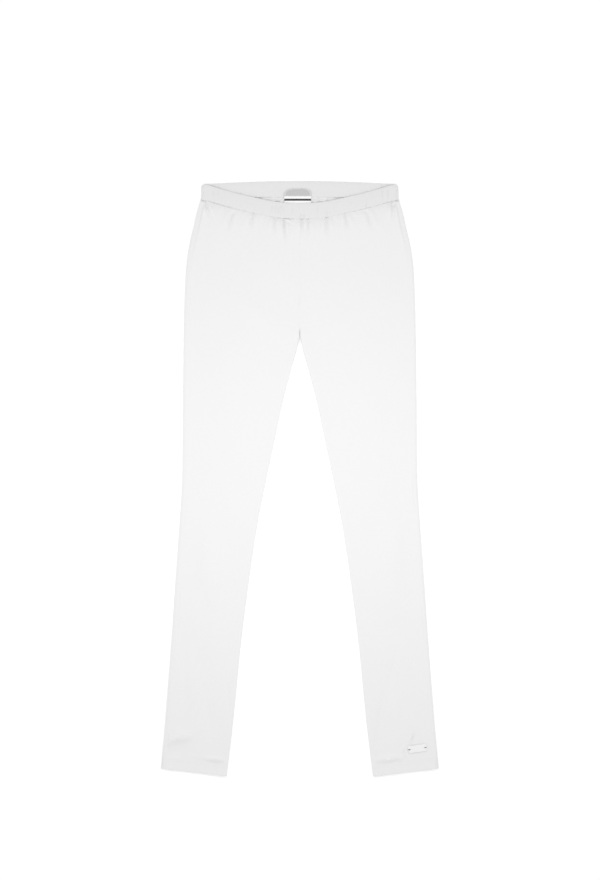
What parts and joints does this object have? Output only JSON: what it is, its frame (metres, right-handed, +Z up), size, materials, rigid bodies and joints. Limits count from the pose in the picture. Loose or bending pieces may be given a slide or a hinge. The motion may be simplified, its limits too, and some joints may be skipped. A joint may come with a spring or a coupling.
{
  "type": "leggings",
  "caption": "White jersey leggings laid flat with the front up: gathered elastic waistband, plain tapered legs, turned-up hems and a small bare metal plate above one hem.",
  "frame": {"origin": "on the surface that the leggings lie on, under the middle of their outline", "axes": "+X to the wearer's left, which is the right of the picture, +Y towards the waist, +Z up through the front"},
  "size_m": [0.4514, 0.965, 0.008],
  "materials": {
    "jersey": "matt brushed jersey, white",
    "casing": "matt jersey over elastic, white",
    "label_print": "smooth grey label, bare",
    "label_woven": "smooth woven white ribbon, bare",
    "plate_metal": "polished pale metal, bare"
  },
  "bodies": {
    "root": {"back_panel_right": "jersey", "back_panel_left": "jersey", "front_panel_right": "jersey", "front_panel_left": "jersey", "waistband": "casing", "brand_label": "label_print", "size_label": "label_woven", "ankle_plate": "plate_metal"}
  },
  "joints": []
}
